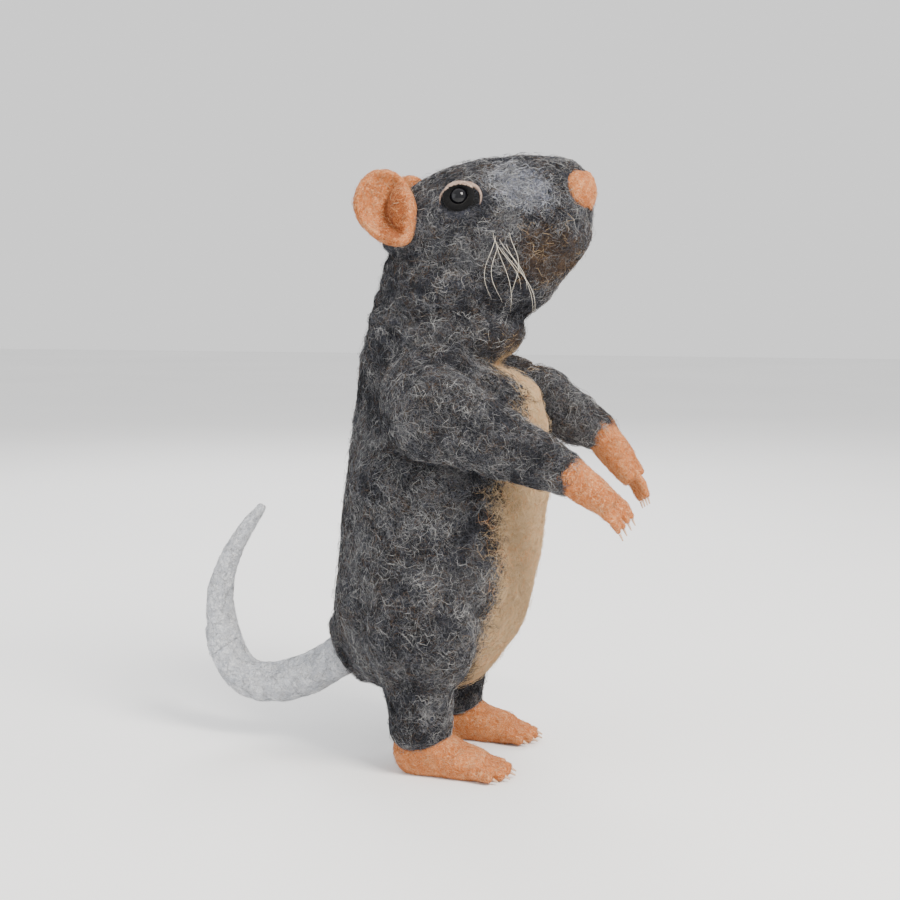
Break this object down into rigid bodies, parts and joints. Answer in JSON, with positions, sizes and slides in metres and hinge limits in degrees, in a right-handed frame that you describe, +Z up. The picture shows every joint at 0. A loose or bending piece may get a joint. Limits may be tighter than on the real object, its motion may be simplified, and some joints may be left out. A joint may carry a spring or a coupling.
{
  "type": "standing felted rat figure",
  "caption": "Wool felt rat figure that stands upright on its hind feet, with a wire armature that bends at the neck, arms, ankles and tail.",
  "frame": {"origin": "on the surface that the figure stands on, under the middle of its overall length and width", "axes": "+X is the way the rat faces, +Y its left side, +Z up"},
  "size_m": [0.1522, 0.072, 0.1965],
  "materials": {
    "armature_wire": "bare annealed wire",
    "binding_thread": "matte wound thread",
    "whisker_fibre": "fine stiff fibre",
    "eye_glass": "polished black glass bead",
    "lid_felt": "firm needle felt",
    "claw_felt": "tight needle felt, stiffened",
    "peach_felt": "firm needle felt",
    "cream_felt": "firm needle felt",
    "core_wool": "firm felted core wool",
    "grey_wool": "loose fibred mottled needle felt",
    "tail_felt": "firm mottled needle felt"
  },
  "bodies": {
    "torso": {"chest_patch": "cream_felt", "belly_patch": "cream_felt", "torso_coat": "grey_wool", "torso_core": "core_wool", "tail_collar": "grey_wool", "spine_wire": "armature_wire", "shoulder_wire": "armature_wire", "shoulder_binding": "binding_thread", "hip_binding": "binding_thread", "right_thigh_wool": "grey_wool", "right_shin_wool": "grey_wool", "right_leg_wire": "armature_wire", "left_thigh_wool": "grey_wool", "left_shin_wool": "grey_wool", "left_leg_wire": "armature_wire"},
    "right_foot": {"right_foot_wool": "peach_felt", "right_toes": "peach_felt", "right_toe_claws": "claw_felt", "right_foot_wire": "armature_wire"},
    "left_foot": {"left_foot_wool": "peach_felt", "left_toes": "peach_felt", "left_toe_claws": "claw_felt", "left_foot_wire": "armature_wire"},
    "right_upper_arm": {"right_upper_arm_wool": "grey_wool", "right_upper_arm_wire": "armature_wire"},
    "right_forearm": {"right_forearm_wool": "grey_wool", "right_forearm_wire": "armature_wire"},
    "right_paw": {"right_paw_wool": "peach_felt", "right_fingers": "peach_felt", "right_claws": "claw_felt", "right_paw_wire": "armature_wire"},
    "left_upper_arm": {"left_upper_arm_wool": "grey_wool", "left_upper_arm_wire": "armature_wire"},
    "left_forearm": {"left_forearm_wool": "grey_wool", "left_forearm_wire": "armature_wire"},
    "left_paw": {"left_paw_wool": "peach_felt", "left_fingers": "peach_felt", "left_claws": "claw_felt", "left_paw_wire": "armature_wire"},
    "neck": {"neck_wool": "grey_wool", "neck_wire": "armature_wire"},
    "head": {"right_eye_bead": "eye_glass", "right_eyelid_rim": "lid_felt", "right_ear": "peach_felt", "right_whiskers": "whisker_fibre", "left_eye_bead": "eye_glass", "left_eyelid_rim": "lid_felt", "left_ear": "peach_felt", "left_whiskers": "whisker_fibre", "head_coat": "grey_wool", "head_core": "core_wool", "nose": "peach_felt"},
    "tail_root": {"tail_root_wool": "tail_felt", "tail_root_wire": "armature_wire"},
    "tail_middle": {"tail_middle_wool": "tail_felt", "tail_middle_wire": "armature_wire"},
    "tail_tip": {"tail_tip_wool": "tail_felt", "tail_tip_wire": "armature_wire"}
  },
  "joints": [
    {"name": "neck_nod", "type": "hinge", "parent": "torso", "child": "neck", "pos_m": [0.00798, 0, 0.14527], "axis": [0, -1, 0], "range_deg": [-12, 12]},
    {"name": "head_turn", "type": "hinge", "parent": "neck", "child": "head", "pos_m": [0.01335, 0, 0.156], "axis": [0.4472, 0, 0.8944], "range_deg": [-35, 35]},
    {"name": "right_shoulder", "type": "hinge", "parent": "torso", "child": "right_upper_arm", "pos_m": [0.01535, -0.0275, 0.116], "axis": [0, -1, 0], "range_deg": [-12, 20]},
    {"name": "right_elbow", "type": "hinge", "parent": "right_upper_arm", "child": "right_forearm", "pos_m": [0.03335, -0.0275, 0.108], "axis": [0, -1, 0], "range_deg": [-20, 20]},
    {"name": "right_wrist", "type": "hinge", "parent": "right_forearm", "child": "right_paw", "pos_m": [0.05585, -0.0275, 0.0986], "axis": [0, -1, 0], "range_deg": [-30, 25]},
    {"name": "right_ankle", "type": "hinge", "parent": "torso", "child": "right_foot", "pos_m": [0.00735, -0.021, 0.009], "axis": [0, -1, 0], "range_deg": [-12, 12]},
    {"name": "left_shoulder", "type": "hinge", "parent": "torso", "child": "left_upper_arm", "pos_m": [0.01535, 0.0275, 0.116], "axis": [0, -1, 0], "range_deg": [-12, 20]},
    {"name": "left_elbow", "type": "hinge", "parent": "left_upper_arm", "child": "left_forearm", "pos_m": [0.03635, 0.0275, 0.117], "axis": [0, -1, 0], "range_deg": [-20, 20]},
    {"name": "left_wrist", "type": "hinge", "parent": "left_forearm", "child": "left_paw", "pos_m": [0.05635, 0.0275, 0.1065], "axis": [0, -1, 0], "range_deg": [-30, 25]},
    {"name": "left_ankle", "type": "hinge", "parent": "torso", "child": "left_foot", "pos_m": [0.00735, 0.021, 0.009], "axis": [0, -1, 0], "range_deg": [-12, 12]},
    {"name": "tail_swing", "type": "hinge", "parent": "torso", "child": "tail_root", "pos_m": [-0.02665, 0, 0.031], "axis": [0, 0, 1], "range_deg": [-25, 25]},
    {"name": "tail_bend", "type": "hinge", "parent": "tail_root", "child": "tail_middle", "pos_m": [-0.05465, 0, 0.02], "axis": [0, 1, 0], "range_deg": [-25, 10]},
    {"name": "tail_curl", "type": "hinge", "parent": "tail_middle", "child": "tail_tip", "pos_m": [-0.07065, 0, 0.042], "axis": [0, 1, 0], "range_deg": [-30, 20]}
  ]
}
